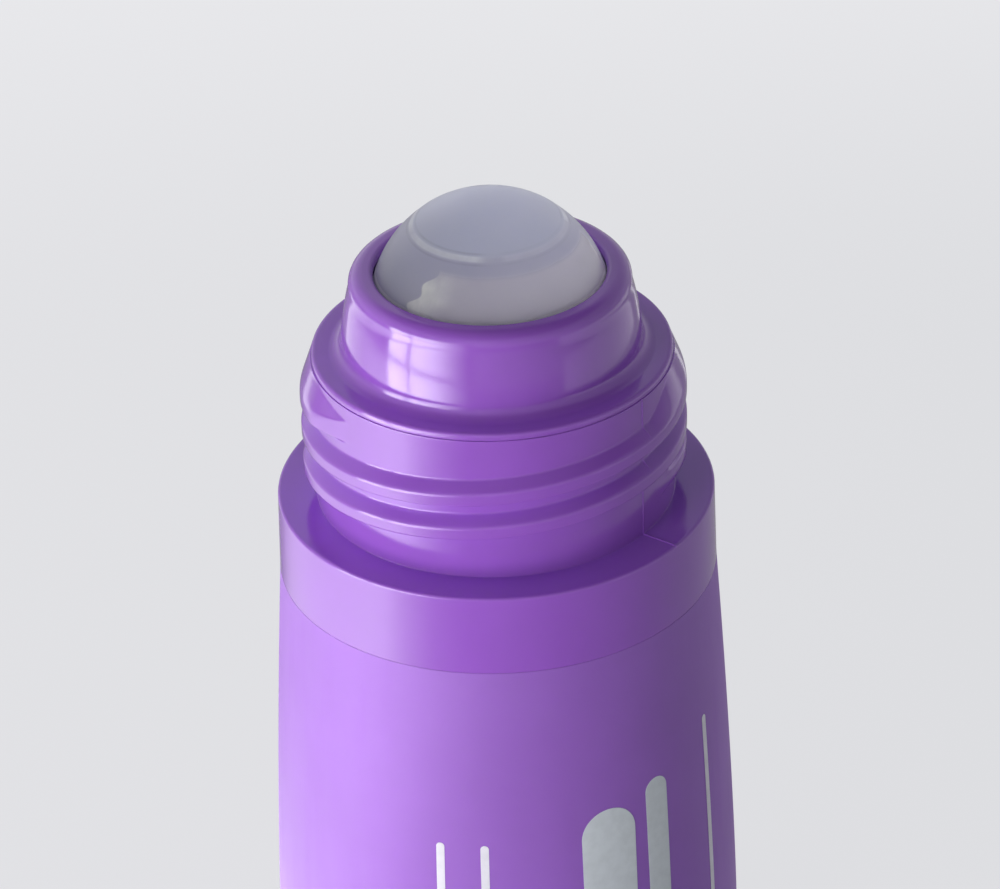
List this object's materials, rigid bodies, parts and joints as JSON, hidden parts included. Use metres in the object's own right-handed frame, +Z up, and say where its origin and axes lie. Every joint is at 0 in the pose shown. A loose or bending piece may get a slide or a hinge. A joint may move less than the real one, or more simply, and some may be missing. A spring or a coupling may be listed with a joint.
{
  "type": "roll-on deodorant bottle",
  "caption": "Roll-on deodorant bottle without its cap: threaded neck, flat shoulder, flared outer sleeve, and a hollow ball that turns in a snap-in housing.",
  "frame": {"origin": "centre of the base, on the surface that the bottle stands on", "axes": "+Z up along the bottle's axis, towards the ball; the ball's modelled turning axis is X"},
  "size_m": [0.0518, 0.0518, 0.0939],
  "materials": {
    "gloss_purple": "moulded polypropylene, glossy",
    "satin_purple": "moulded polypropylene, satin",
    "frosted_ball": "natural polypropylene, milky, wet with product",
    "clear_liquid": "clear liquid"
  },
  "bodies": {
    "container": {"bottle": "gloss_purple", "outer_sleeve": "satin_purple", "base_plug": "satin_purple", "ball_housing": "gloss_purple", "deodorant_liquid": "clear_liquid"},
    "ball": {"ball_upper_half": "frosted_ball", "ball_lower_half": "frosted_ball"}
  },
  "joints": [
    {"name": "ball_roll", "type": "hinge", "parent": "container", "child": "ball", "pos_m": [0, 0, 0.0812], "axis": [1, 0, 0], "continuous": true}
  ]
}
